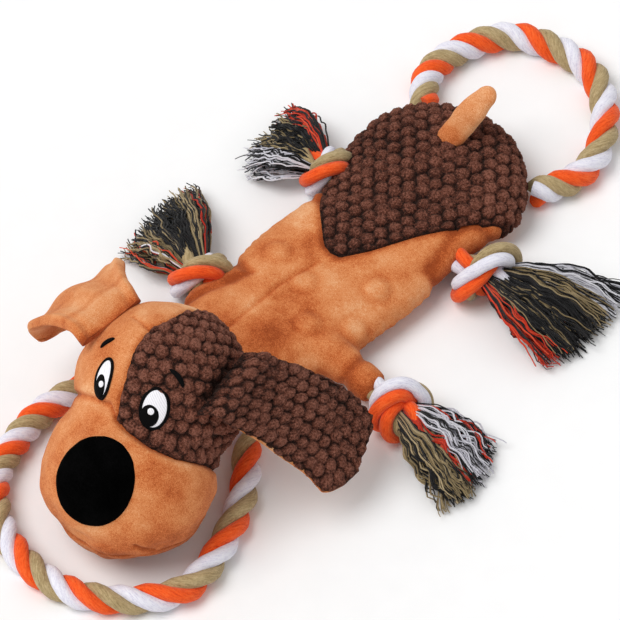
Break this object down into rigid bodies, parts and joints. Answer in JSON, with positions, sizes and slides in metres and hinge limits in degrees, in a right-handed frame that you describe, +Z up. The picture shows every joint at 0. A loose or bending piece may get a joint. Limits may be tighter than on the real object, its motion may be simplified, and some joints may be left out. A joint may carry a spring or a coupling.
{
  "type": "squeaky dog toy",
  "caption": "Flat plush dog with a stuffed head, floppy ears, squeakers inside, knotted rope legs with tassels and a rope loop at each end for pulling.",
  "frame": {"origin": "on the surface that the toy lies on, under the middle of its box without the two rope loops", "axes": "+Z up out of the back, -Y towards the nose, +X towards the dog's left side"},
  "size_m": [0.274, 0.4801, 0.1152],
  "materials": {
    "tan_plush": "short-pile plush",
    "popcorn_plush": "raised popcorn-pile plush",
    "nose_plush": "short-pile plush",
    "white_thread": "satin embroidery",
    "black_thread": "satin embroidery",
    "rope": "cotton-blend twisted rope",
    "yarn": "loose cotton yarn",
    "filling": "polyester fibre filling",
    "film": "thin clear film",
    "squeaker_plastic": "soft moulded vinyl"
  },
  "bodies": {
    "torso": {"back_panel": "tan_plush", "belly_panel": "tan_plush", "rump_patch": "popcorn_plush", "front_left_sleeve": "tan_plush", "front_right_sleeve": "tan_plush", "rear_left_sleeve": "tan_plush", "rear_right_sleeve": "tan_plush", "front_leg_cross_rope": "rope", "rear_leg_cross_rope": "rope", "front_loop_sewn_end": "rope", "rear_loop_sewn_end": "rope", "chest_stuffing": "filling", "rump_stuffing": "filling", "crinkle_sheet": "film", "belly_padding": "filling", "squeaker_mat": "film", "mat_reed_1": "squeaker_plastic", "mat_reed_2": "squeaker_plastic", "mat_reed_3": "squeaker_plastic", "mat_reed_4": "squeaker_plastic", "mat_reed_5": "squeaker_plastic", "mat_reed_6": "squeaker_plastic", "mat_reed_7": "squeaker_plastic", "mat_reed_8": "squeaker_plastic", "mat_reed_9": "squeaker_plastic"},
    "neck": {"neck_roll": "tan_plush"},
    "head": {"face_panel": "tan_plush", "eye_patch": "popcorn_plush", "head_back_panel": "tan_plush", "muzzle_panel": "tan_plush", "jaw_panel": "tan_plush", "head_stuffing_left": "filling", "head_stuffing_right": "filling", "nose": "nose_plush", "eye_white_left": "white_thread", "eye_pupil_left": "black_thread", "eye_white_right": "white_thread", "eye_pupil_right": "black_thread", "brow_left": "black_thread", "brow_right": "black_thread", "squeaker_base": "squeaker_plastic", "squeaker_reed": "squeaker_plastic", "squeaker_bellows": "squeaker_plastic"},
    "squeaker_top": {"squeaker_cap": "squeaker_plastic"},
    "left_ear": {"ear_left_front": "popcorn_plush", "ear_left_lining": "tan_plush"},
    "right_ear": {"ear_right_front": "tan_plush", "ear_right_lining": "tan_plush"},
    "tail": {"tail_plush": "tan_plush", "tail_stuffing": "filling"},
    "front_loop": {"front_rope_loop": "rope"},
    "rear_loop": {"rear_rope_loop": "rope"},
    "front_left_leg": {"front_left_leg_rope": "rope", "front_left_tassel": "yarn"},
    "front_right_leg": {"front_right_leg_rope": "rope", "front_right_tassel": "yarn"},
    "rear_left_leg": {"rear_left_leg_rope": "rope", "rear_left_tassel": "yarn"},
    "rear_right_leg": {"rear_right_leg_rope": "rope", "rear_right_tassel": "yarn"}
  },
  "joints": [
    {"name": "head_turn", "type": "hinge", "parent": "torso", "child": "neck", "pos_m": [-0.01569, -0.04252, 0.03], "axis": [0, 0, 1], "range_deg": [-12, 4], "stiffness_Nm_per_rad": 0.6},
    {"name": "head_nod", "type": "hinge", "parent": "neck", "child": "head", "pos_m": [-0.01569, -0.04252, 0.03], "axis": [-0.9703, -0.2419, 0], "range_deg": [-10, 35], "stiffness_Nm_per_rad": 0.8},
    {"name": "squeaker_press", "type": "slide", "parent": "head", "child": "squeaker_top", "axis": [0, 0, -1], "range_m": [0, 0.005], "stiffness_N_per_m": 400, "deforming": ["squeaker_bellows"]},
    {"name": "left_ear_flap", "type": "hinge", "parent": "head", "child": "left_ear", "pos_m": [0.04111, -0.09119, 0.09775], "axis": [0.2419, -0.9703, 0], "range_deg": [-6, 55], "stiffness_Nm_per_rad": 0.3},
    {"name": "right_ear_flap", "type": "hinge", "parent": "head", "child": "right_ear", "pos_m": [-0.03361, -0.10576, 0.09785], "axis": [-0.2419, 0.9703, 0], "range_deg": [-6, 55], "stiffness_Nm_per_rad": 0.3},
    {"name": "tail_wag", "type": "hinge", "parent": "torso", "child": "tail", "pos_m": [-0.02269, 0.15448, 0.0386], "axis": [0, -0.7779, 0.6284], "range_deg": [-30, 30], "stiffness_Nm_per_rad": 0.05},
    {"name": "front_loop_fold", "type": "hinge", "parent": "torso", "child": "front_loop", "pos_m": [-0.01369, -0.04272, 0.0085], "axis": [1, 0, 0], "range_deg": [0, 50], "stiffness_Nm_per_rad": 0.3},
    {"name": "rear_loop_fold", "type": "hinge", "parent": "torso", "child": "rear_loop", "pos_m": [-0.02319, 0.17348, 0.0085], "axis": [1, 0, 0], "range_deg": [-40, 45], "stiffness_Nm_per_rad": 0.3},
    {"name": "front_left_leg_swing", "type": "hinge", "parent": "torso", "child": "front_left_leg", "pos_m": [0.0643, 0.01048, 0.0165], "axis": [0, 0, 1], "range_deg": [-20, 20], "stiffness_Nm_per_rad": 0.1},
    {"name": "front_right_leg_swing", "type": "hinge", "parent": "torso", "child": "front_right_leg", "pos_m": [-0.0647, 0.00449, 0.0165], "axis": [0, 0, 1], "range_deg": [-20, 20], "stiffness_Nm_per_rad": 0.1},
    {"name": "rear_left_leg_swing", "type": "hinge", "parent": "torso", "child": "rear_left_leg", "pos_m": [0.0358, 0.10648, 0.0165], "axis": [0, 0, 1], "range_deg": [-20, 20], "stiffness_Nm_per_rad": 0.1},
    {"name": "rear_right_leg_swing", "type": "hinge", "parent": "torso", "child": "rear_right_leg", "pos_m": [-0.06919, 0.09448, 0.0165], "axis": [0, 0, 1], "range_deg": [-20, 20], "stiffness_Nm_per_rad": 0.1}
  ]
}
